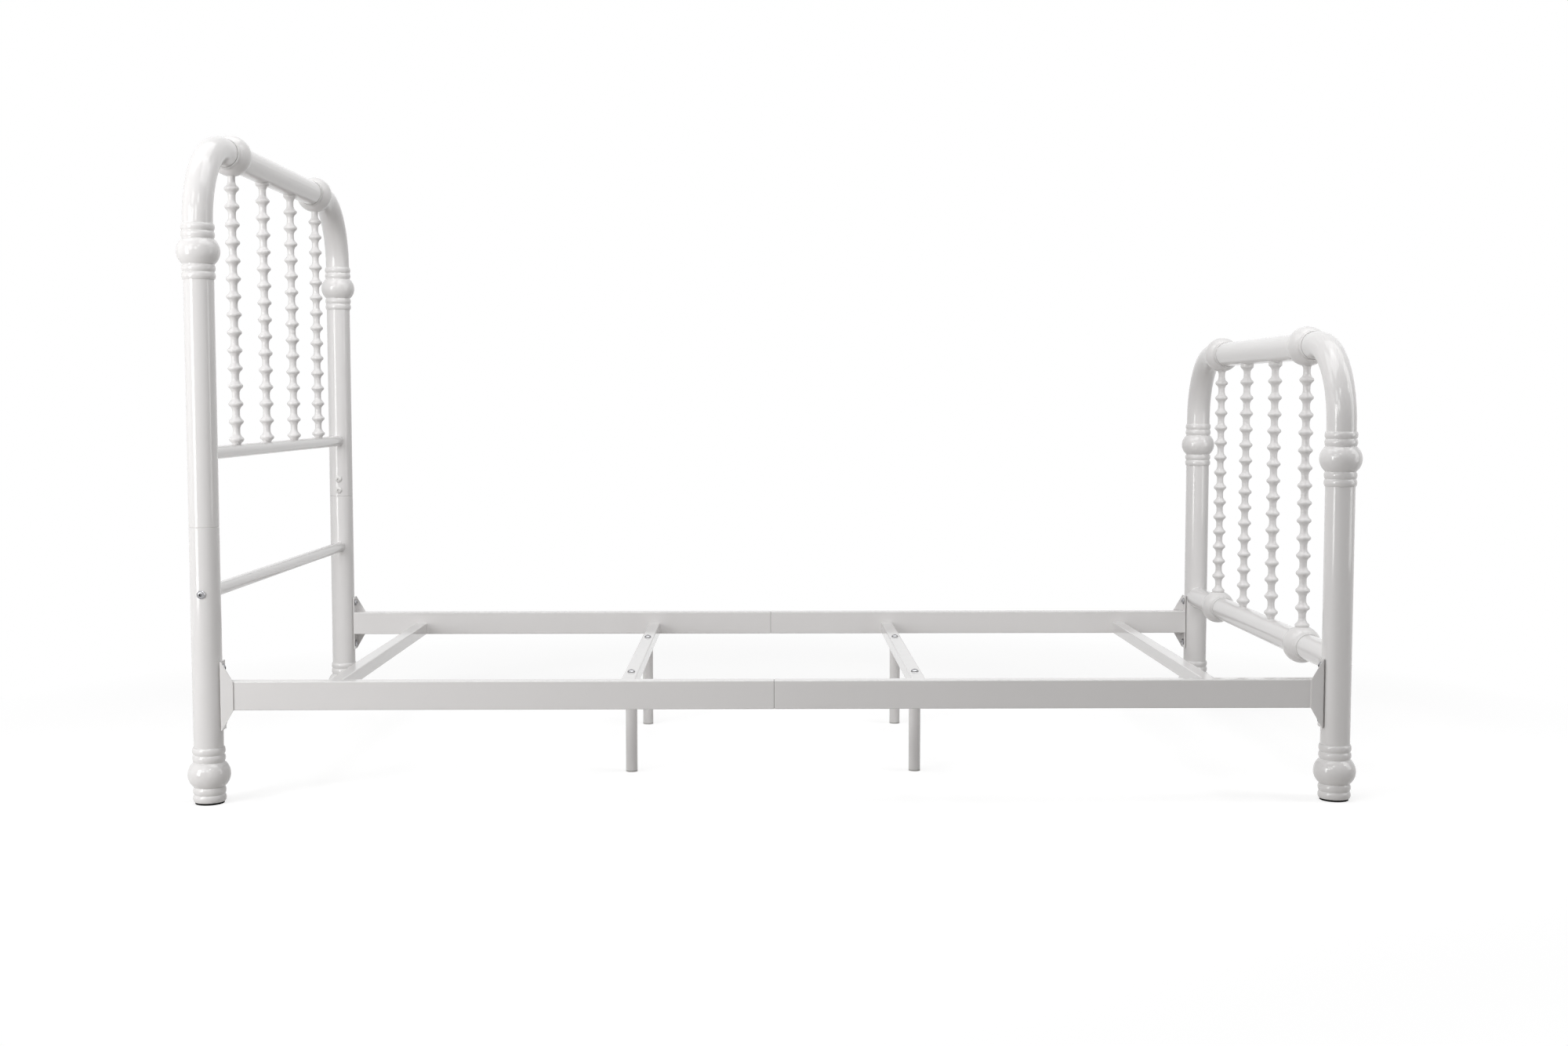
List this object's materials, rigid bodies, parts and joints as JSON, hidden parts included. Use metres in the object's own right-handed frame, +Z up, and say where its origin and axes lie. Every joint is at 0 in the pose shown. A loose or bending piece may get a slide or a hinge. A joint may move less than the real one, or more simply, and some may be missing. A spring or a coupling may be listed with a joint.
{
  "type": "bed frame",
  "caption": "White metal bed frame with arched tube headboard and footboard, spool-turned spindles, ball ornaments, side rails, cross slats and support legs for a mattress.",
  "frame": {"origin": "middle of the bed's length and width, on the floor", "axes": "+X along the bed from head to foot, +Y to the sleeper's left, +Z up"},
  "size_m": [2.0332, 1.0886, 1.1736],
  "materials": {
    "white_tube": "satin white powder coat",
    "white_casting": "satin gloss white",
    "white_bolt": "satin white",
    "zinc_bolt": "bright zinc",
    "hidden_steel": "plain",
    "black_cap": "matte black",
    "leg_cap": "matte light grey"
  },
  "bodies": {
    "root": {"foot_caps": "black_cap", "footboard_collar_left": "white_casting", "footboard_collar_right": "white_casting", "footboard_foot_ornament_left": "white_casting", "footboard_foot_ornament_right": "white_casting", "footboard_lower_collar_left": "white_casting", "footboard_lower_collar_right": "white_casting", "footboard_lower_rail": "white_tube", "footboard_ornament_left": "white_casting", "footboard_ornament_right": "white_casting", "footboard_post_left": "white_tube", "footboard_post_right": "white_tube", "footboard_spindle_1": "white_casting", "footboard_spindle_2": "white_casting", "footboard_spindle_3": "white_casting", "footboard_spindle_4": "white_casting", "footboard_top_rail": "white_tube", "frame_bolts": "zinc_bolt", "headboard_collar_left": "white_casting", "headboard_collar_right": "white_casting", "headboard_foot_ornament_left": "white_casting", "headboard_foot_ornament_right": "white_casting", "headboard_joint_sleeve_left": "hidden_steel", "headboard_joint_sleeve_right": "hidden_steel", "headboard_leg_left": "white_tube", "headboard_leg_right": "white_tube", "headboard_lower_rail": "white_tube", "headboard_ornament_left": "white_casting", "headboard_ornament_right": "white_casting", "headboard_spindle_1": "white_casting", "headboard_spindle_2": "white_casting", "headboard_spindle_3": "white_casting", "headboard_spindle_4": "white_casting", "headboard_spindle_rail": "white_tube", "headboard_top_rail": "white_tube", "headboard_upper_post_left": "white_tube", "headboard_upper_post_right": "white_tube", "lower_rail_bolts": "zinc_bolt", "post_joint_bolts": "white_bolt", "rail_bracket_left_foot": "white_tube", "rail_bracket_left_head": "white_tube", "rail_bracket_right_foot": "white_tube", "rail_bracket_right_head": "white_tube", "rail_connectors": "hidden_steel", "side_rail_left_foot": "white_tube", "side_rail_left_head": "white_tube", "side_rail_right_foot": "white_tube", "side_rail_right_head": "white_tube", "slat_1": "white_tube", "slat_2": "white_tube", "slat_3": "white_tube", "slat_4": "white_tube", "slat_stubs": "white_tube", "spindle_rods": "hidden_steel", "support_leg_bolts": "zinc_bolt", "support_leg_caps": "leg_cap", "support_legs_left": "white_tube", "support_legs_right": "white_tube", "threaded_inserts": "hidden_steel", "threaded_plugs": "hidden_steel"}
  },
  "joints": []
}
